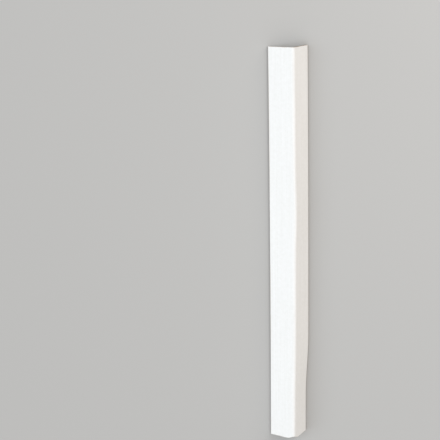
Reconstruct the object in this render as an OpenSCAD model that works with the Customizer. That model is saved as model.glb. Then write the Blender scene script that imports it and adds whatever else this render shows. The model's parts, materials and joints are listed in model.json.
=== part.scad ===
// Pallet edge protector: a straight right-angle board of laminated paper.
// It lies as it comes to rest, fold up, with both free edges down on the floor.
// X runs across the section, Y along the board and Z up. Sizes are in millimetres.

/* [Board] */
// Cut length of the board
length = 1245; // [300:5:2400]
// Width of the left leg, from the outside of the fold to its free edge
left_leg = 89; // [50:1:150]
// Width of the right leg, from the outside of the fold to its free edge
right_leg = 89; // [50:1:150]
// Thickness of the laminated board
board_thickness = 7.6; // [3:0.1:10]

/* [Fold and edges] */
// Radius on the inside of the fold
inner_fold_radius = 1.6; // [0.6:0.1:8]
// Rounding of the two corners along each free edge
edge_rounding = 0.8; // [0.2:0.1:1.4]

/* [Hidden] */
$fn = 96;

// The board keeps its thickness round the fold, so both faces bend about one centre
outer_fold_radius = inner_fold_radius + board_thickness;

// Turn of the section that brings the inner corners of both free edges level
lean = atan2(left_leg - board_thickness, right_leg - board_thickness);

// Centres of the rounded corners that set how the section lies, seen from the fold's centre:
// the right leg's inner corner touches the floor, the outer corners are the widest points
right_inner_corner = [right_leg - outer_fold_radius - edge_rounding, inner_fold_radius + edge_rounding];
right_outer_corner = [right_inner_corner.x, outer_fold_radius - edge_rounding];
left_outer_corner = [edge_rounding - outer_fold_radius, edge_rounding + outer_fold_radius - left_leg];

// Place of a section point once the section has leaned over
function leaned(p) = [
    p.x * cos(lean) + p.y * sin(lean),
    p.y * cos(lean) - p.x * sin(lean)
];

// Height of the fold's centre over the floor, and its offset from the middle of the width
fold_height = edge_rounding - leaned(right_inner_corner).y;
fold_offset = -(leaned(left_outer_corner).x + leaned(right_outer_corner).x) / 2;

// Quarter ring of the fold, between the ends of the two legs
module fold() {
    intersection() {
        difference() {
            circle(r = outer_fold_radius);
            circle(r = inner_fold_radius);
        }
        translate([-outer_fold_radius, 0])
            square(outer_fold_radius);
    }
}

// Flat strip of one leg, from the end of the fold to its free edge
module leg(width) {
    run = width - outer_fold_radius;
    translate([0, inner_fold_radius])
        square([run - edge_rounding, board_thickness]);
    translate([0, inner_fold_radius + edge_rounding])
        square([run, board_thickness - 2 * edge_rounding]);
    for (corner = [inner_fold_radius + edge_rounding, outer_fold_radius - edge_rounding])
        translate([run - edge_rounding, corner])
            circle(r = edge_rounding);
}

// Section of the folded board about the fold's centre, with the right leg level
module board_section() {
    fold();
    leg(right_leg);
    mirror([1, 1])
        leg(left_leg);
}

// The whole edge protector: one folded board, sawn square at both ends
module angle_board() {
    color("whitesmoke")
        translate([fold_offset, 0, fold_height])
            rotate([90, 0, 0])
                linear_extrude(height = length, center = true)
                    rotate(-lean)
                        board_section();
}

angle_board();
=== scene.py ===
# A pallet edge protector of laminated paper board, lying fold up on a pale floor, with sizes in metres
import json
import math
from collections import namedtuple

import bpy
import numpy as np
from mathutils import Matrix, Vector


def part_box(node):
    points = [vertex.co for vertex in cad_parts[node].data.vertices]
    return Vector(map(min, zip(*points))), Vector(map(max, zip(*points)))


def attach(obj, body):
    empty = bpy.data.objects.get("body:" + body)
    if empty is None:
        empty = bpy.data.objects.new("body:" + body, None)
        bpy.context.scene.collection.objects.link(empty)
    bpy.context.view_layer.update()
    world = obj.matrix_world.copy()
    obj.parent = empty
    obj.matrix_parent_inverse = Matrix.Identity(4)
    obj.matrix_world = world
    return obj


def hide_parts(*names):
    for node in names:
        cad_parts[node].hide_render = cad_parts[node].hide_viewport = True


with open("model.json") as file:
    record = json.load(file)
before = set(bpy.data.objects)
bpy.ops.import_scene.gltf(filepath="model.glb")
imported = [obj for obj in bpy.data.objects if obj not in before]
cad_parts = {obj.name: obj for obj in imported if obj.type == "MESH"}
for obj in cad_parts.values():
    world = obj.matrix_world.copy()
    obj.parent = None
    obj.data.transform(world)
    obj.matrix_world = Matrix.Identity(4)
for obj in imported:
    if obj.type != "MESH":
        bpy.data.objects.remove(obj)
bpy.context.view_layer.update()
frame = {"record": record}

# The solid that the board stands for, and what its box and faces say of its size
NODE = "angle_board"
low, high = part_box(NODE)
mounts = {mount["name"]: Vector(mount["pos_m"]) for mount in frame["record"]["mounts"]}
LENGTH = high.y - low.y
THICKNESS = (mounts["right_outer_face"] - mounts["right_inner_face"]).length

# The fold and the free edges, as the solid has them
LEG_TURN = math.radians(45)
INNER_RADIUS = 0.0016
OUTER_RADIUS = INNER_RADIUS + THICKNESS
EDGE_ROUNDING = 0.0008

# The straight run of a leg past the fold, which takes its free edge to the side of the solid's box
LEG_RUN = (high.x - EDGE_ROUNDING) / math.cos(LEG_TURN) + 2 * EDGE_ROUNDING - OUTER_RADIUS

# The plies, numbered from the outer face: a thin white liner on each face, and brown plies between them
LINER = 0.0004
CORE_PLIES = 11
LAST_PLY = CORE_PLIES + 1

# The glue lines between plies, with a number of their own that picks the last of the shades
SEAM = -1
SEAM_HALF_WIDTH = 0.00006
SEAM_DEPTH = 0.00022

# How unevenly the plies end along the free edges: each by its own amount, and wandering a little
EDGE_STAGGER = 0.00045
EDGE_WANDER = 0.00012
EDGE_WAVE = 0.31

# How unevenly the plies end where they are sawn: each by its own amount, along a drifting cut
SAW_STAGGER = 0.00022
SAW_DRIFT = 0.00025
SAW_WAVE = 0.06

# Use has bowed the board slightly along its length and left its legs not quite flat
BOW = 0.0015
LEG_RIPPLE = 0.00018
LEG_WAVE = 0.27

# The fold is pushed over a little above the middle
FOLD_LEAN = 0.0035
LEAN_PLACE = 0.126
LEAN_REACH = 0.095

# The legs are squeezed a little closed near the foot, which is the lower end in the picture
SQUEEZE_TURN = math.radians(4.5)
SQUEEZE_START = 0.33
SQUEEZE_FULL = 0.12

# The fold is worn back, pressed in and frayed at the foot
FOLD_WEAR = 0.0065
FOLD_CRUSH = 0.0012
FOLD_FRAY = 3.0
WEAR_SPREAD = 0.014
WEAR_REACH = 0.045

# Steps of the mesh across a leg, round the fold and along the board
LEG_STEPS = 22
FOLD_STEPS = 14
ROW_PITCH = 0.009

# By what share the steps across a leg are shorter at both its ends
END_CLOSENESS = 0.5

# Places of the rows near an end of the board, from that end
END_ROWS = (0.0, 0.0012, 0.003, 0.006, 0.010, 0.015, 0.021, 0.028, 0.036)

# The board laid flat as a map: cut edges drawn larger, and a gap between strips
MAP_NAME = "OFBake"
CUT_STRETCH = 3.0
MAP_GAP = 0.006

# The waves of a slow drift: the share of each, and how many times shorter it is than the longest
WAVE_PARTS = ((0.5, 1.0), (0.3, 2.3), (0.2, 5.1))

# The same random draws on each run
SEED = 7
rng = np.random.default_rng(SEED)


def waves(place, size, longest):
    """Slow drift along a line of places: waves of random phase, size high at most."""
    drift = np.zeros_like(place)
    for share, shorter in WAVE_PARTS:
        drift += share * np.sin(2 * math.pi * (place / (longest / shorter) + rng.random()))
    return size * drift


def ply_levels():
    """Depths below the outer face, and for each the plies beside it: one ply twice, or two at a seam."""
    core_ply = (THICKNESS - 2 * LINER) / CORE_PLIES
    levels = [(0.0, (0, 0))]
    for ply in range(LAST_PLY):
        seam = LINER + core_ply * ply
        levels.append((seam - SEAM_HALF_WIDTH, (ply, ply)))
        levels.append((seam, (ply, ply + 1)))
        levels.append((seam + SEAM_HALF_WIDTH, (ply + 1, ply + 1)))
    levels.append((THICKNESS, (LAST_PLY, LAST_PLY)))
    depths = np.array([depth for depth, _ in levels])
    beside = np.array([plies for _, plies in levels])
    return depths, beside


def set_back(ply_offsets, beside):
    """How far each level lies behind the cut: its ply's own offset, and deeper at a seam."""
    first, second = beside.T
    at_seam = (first != second)[:, None]
    return np.maximum(ply_offsets[first], ply_offsets[second]) + SEAM_DEPTH * at_seam


def rounding(depths):
    """Set-back that rounds the two corners of a free edge."""
    inside = np.minimum(depths, THICKNESS - depths)
    short = np.clip(EDGE_ROUNDING - inside, 0, None)
    return EDGE_ROUNDING - np.sqrt(EDGE_ROUNDING**2 - short**2)


def stations():
    """Places across the board, from the left free edge to the right one: run along a leg, and turn."""
    share = np.linspace(0, 1, LEG_STEPS + 1)
    leg = LEG_RUN * (share - END_CLOSENESS * np.sin(2 * math.pi * share) / (2 * math.pi))
    bend = np.linspace(-LEG_TURN, LEG_TURN, FOLD_STEPS + 1)[1:-1]
    run = np.concatenate([-leg[::-1], np.zeros(len(bend)), leg])
    turn = np.concatenate([np.full(len(leg), -LEG_TURN), bend, np.full(len(leg), LEG_TURN)])
    return run, turn


def rows():
    """Places along the board, closer together near both ends."""
    end = np.array(END_ROWS)
    middle = LENGTH / 2 - end[-1]
    count = int(round(2 * middle / ROW_PITCH))
    inner = np.linspace(-middle, middle, count + 1)[1:-1]
    return np.concatenate([end - LENGTH / 2, inner, LENGTH / 2 - end[::-1]])


def run_along_legs(run, along, depths, beside):
    """Run of each point along its leg, with the plies ending unevenly at the free edges."""
    result = np.broadcast_to(run[:, None, None], (len(run), len(depths), len(along))).copy()
    left_edge = (0, 1)
    right_edge = (-1, -1)
    for station, inward in (left_edge, right_edge):
        offsets = EDGE_STAGGER * rng.random((LAST_PLY + 1, 1))
        offsets = offsets + np.array([waves(along, EDGE_WANDER, EDGE_WAVE) for _ in offsets])
        behind = set_back(np.abs(offsets), beside)
        result[station] += inward * np.maximum(behind, rounding(depths)[:, None])
    return result


def place_along_board(unrolled, along, beside, near_fold):
    """Place of each point along the board, with plies sawn unevenly and the foot frayed at the fold."""
    result = np.broadcast_to(along, (len(unrolled), len(beside), len(along))).copy()
    foot = (0, 1, FOLD_FRAY)
    head = (-1, -1, 0.0)
    for row, inward, fray in (foot, head):
        plies = set_back(SAW_STAGGER * rng.random((LAST_PLY + 1, 1)), beside).T
        drift = np.abs(waves(unrolled, SAW_DRIFT, SAW_WAVE))
        result[:, :, row] += inward * (plies * (1 + fray * near_fold[:, None]) + drift[:, None])
    return result


def leg_ripple(unrolled, share_of_leg, along):
    """How far each leg stands out from flat, most in its middle."""
    middle_of_leg = 4 * share_of_leg * (1 - share_of_leg)
    left = waves(along, LEG_RIPPLE, LEG_WAVE)
    right = waves(along, LEG_RIPPLE, LEG_WAVE)
    return np.where(unrolled[:, None] < 0, left, right) * middle_of_leg[:, None]


def squeezed_turn(from_foot):
    """How far each leg is turned from level, along the board, eased into the squeeze."""
    share = np.clip((SQUEEZE_START - from_foot) / (SQUEEZE_START - SQUEEZE_FULL), 0, 1)
    return LEG_TURN + SQUEEZE_TURN * share**2 * (3 - 2 * share)


def half_width(leg_turn):
    """Half the board's width over its free edges."""
    along_leg = (LEG_RUN - EDGE_ROUNDING) * np.cos(leg_turn)
    through_leg = (OUTER_RADIUS - EDGE_ROUNDING) * np.sin(leg_turn)
    return along_leg + through_leg + EDGE_ROUNDING


def fold_height(leg_turn):
    """Height of the fold's centre over a floor that both free edges lie on."""
    along_leg = (LEG_RUN - EDGE_ROUNDING) * np.sin(leg_turn)
    through_leg = (INNER_RADIUS + EDGE_ROUNDING) * np.cos(leg_turn)
    return along_leg - through_leg + EDGE_ROUNDING


def sideways_shift(along, leg_turn, share_of_leg):
    """Shift of points by the bow, the fold's lean, and a squeeze that leaves the left edge in line."""
    bow = BOW * (1 - (2 * along / LENGTH) ** 2)
    squeeze = half_width(leg_turn) - half_width(LEG_TURN)
    lean = FOLD_LEAN * np.exp(-(((along - LEAN_PLACE) / LEAN_REACH) ** 2))
    return bow + squeeze + np.outer(1 - share_of_leg, lean)


def board_points():
    """A lattice of points through the board: across it, through its plies and along it."""
    run, turn = stations()
    depths, beside = ply_levels()
    along = rows()
    from_foot = along + LENGTH / 2
    unrolled = run + OUTER_RADIUS * turn
    from_fold = np.abs(unrolled)
    share_of_leg = from_fold / from_fold.max()
    near_fold = np.exp(-((from_fold / WEAR_SPREAD) ** 2))
    near_foot = np.clip(1 - from_foot / WEAR_REACH, 0, 1) ** 2
    worn = np.outer(near_fold, near_foot)

    out = run_along_legs(run, along, depths, beside)
    y = place_along_board(unrolled, along, beside, near_fold) + FOLD_WEAR * worn[:, None]
    lift = leg_ripple(unrolled, share_of_leg, along) - FOLD_CRUSH * worn
    radius = OUTER_RADIUS - depths[:, None] + lift[:, None]

    leg_turn = squeezed_turn(from_foot)
    turned = np.outer(turn, leg_turn / LEG_TURN)[:, None]
    shift = sideways_shift(along, leg_turn, share_of_leg)[:, None]
    x = out * np.cos(turned) + radius * np.sin(turned) + shift
    z = fold_height(leg_turn) - out * np.sin(turned) + radius * np.cos(turned)

    from_edge = from_fold.max() - from_fold
    from_end = LENGTH / 2 - np.abs(along)
    from_cut = np.minimum(from_edge[:, None], from_end)
    distances = {
        "from_fold": np.broadcast_to(from_fold[:, None, None], x.shape),
        "from_cut": np.broadcast_to(from_cut[:, None], x.shape),
    }
    return np.stack([x, y, z], -1), beside, distances


def board_sheets(numbers):
    """Sheets of vertex numbers that close the lattice, whether to flip each, and whether it is a cut."""
    half = numbers.shape[2] // 2
    sheets = []
    # Two stretches along the board give the map shorter strips
    for stretch in (numbers[:, :, : half + 1], numbers[:, :, half:]):
        outer_face = (stretch[:, 0], False, False)
        inner_face = (stretch[:, -1], True, False)
        right_edge = (stretch[-1], False, True)
        left_edge = (stretch[0], True, True)
        sheets += [outer_face, inner_face, right_edge, left_edge]
    head = (numbers[:, :, -1].T, True, True)
    foot = (numbers[:, :, 0].T, False, True)
    return sheets + [head, foot]


def cells(sheet):
    """The four corners of each cell of a sheet, wound from its first axis to its second."""
    four = np.stack([sheet[:-1, :-1], sheet[1:, :-1], sheet[1:, 1:], sheet[:-1, 1:]], 2)
    return four.reshape(-1, 4, *sheet.shape[2:])


def measured(line):
    """Distances along a line of points, from its first."""
    steps = np.linalg.norm(np.diff(line, axis=0), axis=1)
    return np.concatenate([[0.0], np.cumsum(steps)])


def laid_flat(places, is_cut, base):
    """Map places of a sheet as a strip that starts at base, and where the strip ends."""
    across = measured(places[:, places.shape[1] // 2]) * (CUT_STRETCH if is_cut else 1)
    along = measured(places[places.shape[0] // 2])
    return np.stack(np.meshgrid(along, base + across), -1), base + across[-1]


def board_mesh():
    """The closed skin of the lattice, and the ply of each of its faces."""
    points, beside, distances = board_points()
    numbers = np.arange(points[..., 0].size).reshape(points.shape[:3])
    points = points.reshape(-1, 3)
    cut_plies = np.where((beside[:-1] == beside[1:]).all(1), beside[:-1, 0], SEAM)
    corners = []
    plies = []
    flat = []
    base = 0.0
    for sheet, flipped, is_cut in board_sheets(numbers):
        order = [3, 2, 1, 0] if flipped else [0, 1, 2, 3]
        strip, end = laid_flat(points[sheet], is_cut, base)
        base = end + MAP_GAP
        corners.append(cells(sheet)[:, order])
        flat.append(cells(strip)[:, order])
        ply = cut_plies if is_cut else np.zeros(sheet.shape[0] - 1, int)
        plies.append(np.repeat(ply, sheet.shape[1] - 1))
    used, corners = np.unique(np.concatenate(corners), return_inverse=True)
    flat = np.concatenate(flat).reshape(-1, 2)
    flat = (flat + MAP_GAP) / (flat.max(0) + 2 * MAP_GAP)

    mesh = bpy.data.meshes.new("folded_board")
    mesh.from_pydata(points[used].tolist(), [], corners.reshape(-1, 4).tolist())
    mesh.uv_layers.new(name=MAP_NAME).uv.foreach_set("vector", flat.astype(np.float32).ravel())
    for name, values in distances.items():
        carried = mesh.attributes.new(name, "FLOAT", "POINT")
        carried.data.foreach_set("value", values.ravel()[used].astype(np.float32))
    return mesh, np.concatenate(plies)


# A noise pattern: cells to the metre, detail, and scale along the board, small where it is drawn out
Pattern = namedtuple("Pattern", "cells detail along")

# A tint: the range of the value that it follows, its shares at both ends of that, and its colour
Tint = namedtuple("Tint", "ends shares colour")

# How a paper takes light: strength and depth of its relief, dullness at both ends of its noise, and gloss
Finish = namedtuple("Finish", "strength depth dullness gloss")

# Where the values of a noise mostly lie
NOISE_RANGE = (0.3, 0.7)

# Shares that rise over a range from none to all, or fall back to none
NONE_TO_ALL = (0, 1)
ALL_TO_NONE = (1, 0)

# Sockets of a Mix node for colours: its share, the colour under, the colour over and the result
MIX_SHARE = 0
MIX_UNDER = 6
MIX_OVER = 7
MIX_RESULT = 2


def add(tree, kind, settings=None, **sockets):
    """A new node with its settings, and its sockets set to values or linked."""
    made = tree.nodes.new(kind)
    for name, value in (settings or {}).items():
        setattr(made, name, value)
    for name, value in sockets.items():
        socket = made.inputs[name.replace("_", " ")]
        if isinstance(value, bpy.types.NodeSocket):
            tree.links.new(value, socket)
        else:
            socket.default_value = value
    return made


def noise(tree, place, pattern):
    """Noise with a pattern's cells and detail, drawn out along the board as it says."""
    fitted = add(tree, "ShaderNodeMapping", Vector=place, Scale=(1, pattern.along, 1)).outputs[0]
    made = add(tree, "ShaderNodeTexNoise", Vector=fitted, Scale=pattern.cells, Detail=pattern.detail)
    return made.outputs["Fac"]


def ramp(tree, value, ends, colours):
    """A colour that runs from the first to the second as the value goes between its ends."""
    made = add(tree, "ShaderNodeValToRGB", Fac=value)
    for stop, place, colour in zip(made.color_ramp.elements, ends, colours):
        stop.position = place
        stop.color = (*colour, 1)
    return made.outputs["Color"]


def ranged(tree, value, ends, results):
    """A value brought smoothly from one range to another."""
    start, end = ends
    at_start, at_end = results
    made = add(tree, "ShaderNodeMapRange", {"interpolation_type": "SMOOTHSTEP"}, Value=value,
               From_Min=start, From_Max=end, To_Min=at_start, To_Max=at_end)
    return made.outputs[0]


def joined(tree, operation, first, second):
    """Two values added or multiplied."""
    made = add(tree, "ShaderNodeMath", {"operation": operation})
    tree.links.new(first, made.inputs[0])
    tree.links.new(second, made.inputs[1])
    return made.outputs[0]


def average(tree, first, second, share):
    """Two values mixed, with a share of the second."""
    made = add(tree, "ShaderNodeMix", {"data_type": "FLOAT"}, Factor=share, A=first, B=second)
    return made.outputs[0]


def tinted(tree, colour, value, tint, near=None):
    """A colour with a tint over it that follows a value, kept to a place where near is given."""
    share = ranged(tree, value, tint.ends, tint.shares)
    if near is not None:
        share = joined(tree, "MULTIPLY", near, share)
    made = add(tree, "ShaderNodeMix", {"data_type": "RGBA"})
    tree.links.new(share, made.inputs[MIX_SHARE])
    tree.links.new(colour, made.inputs[MIX_UNDER])
    made.inputs[MIX_OVER].default_value = (*tint.colour, 1)
    return made.outputs[MIX_RESULT]


def carried_value(tree, name):
    """A value that the mesh carries."""
    return add(tree, "ShaderNodeAttribute", {"attribute_name": name}).outputs["Fac"]


def new_material(name):
    """An empty material, its node tree and its surface input."""
    made = bpy.data.materials.new(name)
    made.use_nodes = True
    tree = made.node_tree
    tree.nodes.clear()
    output = tree.nodes.new("ShaderNodeOutputMaterial")
    return made, tree, output.inputs["Surface"]


def paper(tree, surface, finish, colour, height, mottle):
    """Paper of a colour on the surface, with relief from height and dullness from the noise mottle."""
    bump = add(tree, "ShaderNodeBump", Strength=finish.strength, Distance=finish.depth, Height=height)
    dullness = ranged(tree, mottle, NOISE_RANGE, finish.dullness)
    shader = add(tree, "ShaderNodeBsdfPrincipled", Base_Color=colour, Roughness=dullness,
                 Normal=bump.outputs[0], Specular_IOR_Level=finish.gloss)
    tree.links.new(shader.outputs[0], surface)


# The white liner: cloudy pulp with streaks along the board, and fine fibres
CLOUDS = Pattern(cells=110, detail=5, along=1.0)
STREAKS = Pattern(cells=240, detail=3, along=0.02)
STREAK_SHARE = 0.5
PULP_RANGE = (0.32, 0.68)
PULP_WHITES = ((0.833, 0.833, 0.820), (0.900, 0.900, 0.899))
FIBRES = Pattern(cells=1100, detail=5, along=0.4)
FIBRE_TINT = Tint(ends=(0.38, 0.62), shares=(0.0, 0.14), colour=(0.74, 0.735, 0.715))

# Smears on the liner, grey where the fold is rubbed and brown beside the cuts
SMEARS = Pattern(cells=70, detail=6, along=0.12)
RUB_REACH = (0.001, 0.008)
RUB_TINT = Tint(ends=(0.5, 0.68), shares=(0.0, 0.2), colour=(0.70, 0.69, 0.67))
STAIN_REACH = (0.0, 0.0035)
STAIN_TINT = Tint(ends=(0.4, 0.65), shares=(0.1, 0.55), colour=(0.66, 0.58, 0.48))

# Specks in the liner: round dots, in a few cells of many
SPECK_CELLS = 300.0
SPECK_EDGE = (0.05, 0.11)
SPECK_TINT = Tint(ends=(0.86, 0.9), shares=(0.0, 0.45), colour=(0.45, 0.40, 0.34))

# The liner's relief comes from its fibres, with a share from its clouds
CLOUD_SHARE = 0.35
LINER_FINISH = Finish(strength=0.4, depth=0.00025, dullness=(0.5, 0.66), gloss=0.3)


def white_liner():
    """Smooth white paper: cloudy pulp, streaks, fine fibres, a few specks, and a worn fold and edges."""
    made, tree, surface = new_material("white_liner")
    place = add(tree, "ShaderNodeTexCoord").outputs["Object"]
    clouds = noise(tree, place, CLOUDS)
    streaks = noise(tree, place, STREAKS)
    fibres = noise(tree, place, FIBRES)
    smears = noise(tree, place, SMEARS)
    cloudy = average(tree, clouds, streaks, STREAK_SHARE)
    colour = ramp(tree, cloudy, PULP_RANGE, PULP_WHITES)
    colour = tinted(tree, colour, fibres, FIBRE_TINT)

    near_fold = ranged(tree, carried_value(tree, "from_fold"), RUB_REACH, ALL_TO_NONE)
    colour = tinted(tree, colour, smears, RUB_TINT, near_fold)
    near_cut = ranged(tree, carried_value(tree, "from_cut"), STAIN_REACH, ALL_TO_NONE)
    colour = tinted(tree, colour, smears, STAIN_TINT, near_cut)

    specks = add(tree, "ShaderNodeTexVoronoi", Vector=place, Scale=SPECK_CELLS).outputs
    near_centre = ranged(tree, specks["Distance"], SPECK_EDGE, ALL_TO_NONE)
    colour = tinted(tree, colour, specks["Color"], SPECK_TINT, near_centre)

    height = average(tree, fibres, cloudy, CLOUD_SHARE)
    paper(tree, surface, LINER_FINISH, colour, height, cloudy)
    return made


# The brown plies where they are cut: fuzz and strands, over a shade of each ply's own
FUZZ = Pattern(cells=900, detail=6, along=1.0)
STRANDS = Pattern(cells=500, detail=4, along=0.08)
STRAND_SHARE = 0.4
TORN_SHARE = 0.45
KRAFT_RANGE = (0.15, 0.8)
KRAFT_BROWNS = ((0.11, 0.068, 0.037), (0.43, 0.30, 0.185))
KRAFT_FINISH = Finish(strength=0.6, depth=0.0004, dullness=(0.82, 0.96), gloss=0.2)


def raw_kraft():
    """Brown cut plies, each of its own shade, with fuzzy fibres, and dark glue lines that also carry
    painted shade in their grooves.
    """
    made, tree, surface = new_material("raw_kraft")
    place = add(tree, "ShaderNodeTexCoord").outputs["Object"]
    fuzz = noise(tree, place, FUZZ)
    strands = noise(tree, place, STRANDS)
    torn = average(tree, fuzz, strands, STRAND_SHARE)
    # Each ply's own shade; the glue lines' grooves get the darkest, which is painted shade as well as glue
    shade = average(tree, carried_value(tree, "ply_shade"), torn, TORN_SHARE)
    colour = ramp(tree, shade, KRAFT_RANGE, KRAFT_BROWNS)
    paper(tree, surface, KRAFT_FINISH, colour, torn, torn)
    return made


# Shades of the plies and of the glue lines, where one is the palest; the glue lines' shade is the darkest,
# for the glue and for painted shade in their grooves
DARKEST_PLY = 0.3
GLUE_AND_GROOVE_SHADE = 0.0

# Faces that meet at more than this angle keep a sharp edge
SHARP_ANGLE = math.radians(30)


def angle_board():
    """The edge protector itself, in place of its plain solid."""
    mesh, ply = board_mesh()
    board = bpy.data.objects.new("folded_board", mesh)
    bpy.context.scene.collection.objects.link(board)
    mesh.materials.append(white_liner())
    mesh.materials.append(raw_kraft())
    is_liner = (ply == 0) | (ply == LAST_PLY)
    mesh.polygons.foreach_set("material_index", np.where(is_liner, 0, 1).astype(np.int32))
    ply_shades = DARKEST_PLY + (1 - DARKEST_PLY) * rng.random(LAST_PLY + 1)
    # The glue lines' shade comes last: the darkest, for the glue and for painted shade in the grooves that
    # the lines lie in
    shades = np.append(ply_shades, GLUE_AND_GROOVE_SHADE)
    shade = mesh.attributes.new("ply_shade", "FLOAT", "FACE")
    shade.data.foreach_set("value", shades[ply].astype(np.float32))
    mesh.shade_smooth()
    mesh.set_sharp_from_angle(angle=SHARP_ANGLE)
    mesh.update()
    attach(board, "root")
    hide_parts(NODE)


# The floor grows a little paler away from the board, because the fill lamp's light falls off there
FLOOR_HALF = 40.0
FLOOR_REACH = (1.0, 8.0)
FLOOR_GREYS = ((0.50, 0.50, 0.495), (0.64, 0.64, 0.63))


def floor():
    """A plain pale floor under the board."""
    mesh = bpy.data.meshes.new("floor")
    corners = [(x * FLOOR_HALF, y * FLOOR_HALF, 0) for x, y in ((-1, -1), (1, -1), (1, 1), (-1, 1))]
    mesh.from_pydata(corners, [], [(0, 1, 2, 3)])
    made, tree, surface = new_material("pale_floor")
    place = add(tree, "ShaderNodeTexCoord").outputs["Object"]
    away = add(tree, "ShaderNodeVectorMath", {"operation": "LENGTH"}, Vector=place).outputs["Value"]
    far = ranged(tree, away, FLOOR_REACH, NONE_TO_ALL)
    shader = add(tree, "ShaderNodeBsdfDiffuse", Color=ramp(tree, far, NONE_TO_ALL, FLOOR_GREYS))
    tree.links.new(shader.outputs[0], surface)
    mesh.materials.append(made)
    ground = bpy.data.objects.new("floor", mesh)
    bpy.context.scene.collection.objects.link(ground)


# The camera stands to the board as in the photograph, so the board's length runs up the picture
UP_THE_PICTURE = Vector((0, 1, 0))
PICTURE_SIDE = 440
FOCAL_PIXELS = 1324.4
SENSOR = 36.0
CAMERA_PLACE = Vector((-1.1521, 0.9886, 3.8771))
CAMERA_TARGET = Vector((-0.2265, 0.1013, 0.030))
CAMERA_ROLL = math.radians(-0.93)


def aimed(place, target, up, roll=0.0):
    """Matrix of a camera or lamp at place that looks at target, rolled about its line of sight."""
    back = (place - target).normalized()
    right = up.cross(back).normalized()
    turned = Matrix((right, back.cross(right), back)).transposed().to_4x4()
    return Matrix.Translation(place) @ turned @ Matrix.Rotation(roll, 4, "Z")


def camera():
    """The photograph's view of the board."""
    data = bpy.data.cameras.new("camera")
    data.sensor_width = SENSOR
    data.lens = SENSOR * FOCAL_PIXELS / PICTURE_SIDE
    made = bpy.data.objects.new("camera", data)
    made.matrix_world = aimed(CAMERA_PLACE, CAMERA_TARGET, UP_THE_PICTURE, CAMERA_ROLL)
    bpy.context.scene.collection.objects.link(made)
    bpy.context.scene.camera = made


# A broad cool light from far on the left, and a weaker warm lamp on the right
LAMP_TARGET = Vector((0, 0, 0))
KEY_PLACE = Vector((-5.0, 0.3, 4.3))
KEY_STRENGTH = 1.66
KEY_COLOUR = (0.82, 0.916, 1.0)
KEY_SPREAD = math.radians(40)
FILL_PLACE = Vector((2.3, 1.9, 2.1))
FILL_POWER = 40.0
FILL_COLOUR = (1.0, 0.945, 0.895)
FILL_SIZE = 2.0

# A warm sky, which looks as grey as the far floor wherever it is seen
SKY_STRENGTH = 0.66
SKY_COLOUR = (1.0, 0.95, 0.90)
BACKDROP_COLOUR = (0.915, 0.915, 0.90)


def lamp(name, kind, place, power, colour):
    """A lamp aimed at the board."""
    data = bpy.data.lights.new(name, kind)
    data.energy = power
    data.color = colour
    made = bpy.data.objects.new(name, data)
    made.matrix_world = aimed(place, LAMP_TARGET, UP_THE_PICTURE)
    bpy.context.scene.collection.objects.link(made)
    return data


def light():
    """The lamps and the sky."""
    key = lamp("key", "SUN", KEY_PLACE, KEY_STRENGTH, KEY_COLOUR)
    key.angle = KEY_SPREAD
    fill = lamp("fill", "AREA", FILL_PLACE, FILL_POWER, FILL_COLOUR)
    fill.size = FILL_SIZE
    world = bpy.data.worlds.new("sky")
    world.use_nodes = True
    tree = world.node_tree
    rays = add(tree, "ShaderNodeLightPath").outputs
    mirrored = joined(tree, "ADD", rays["Is Glossy Ray"], rays["Is Transmission Ray"])
    seen = joined(tree, "ADD", rays["Is Camera Ray"], mirrored)
    sky = tree.nodes["Background"].inputs
    tree.links.new(ramp(tree, seen, NONE_TO_ALL, (SKY_COLOUR, BACKDROP_COLOUR)), sky["Color"])
    sky["Strength"].default_value = SKY_STRENGTH
    bpy.context.scene.world = world


angle_board()
floor()
camera()
light()
bpy.context.scene.view_settings.view_transform = "Standard"
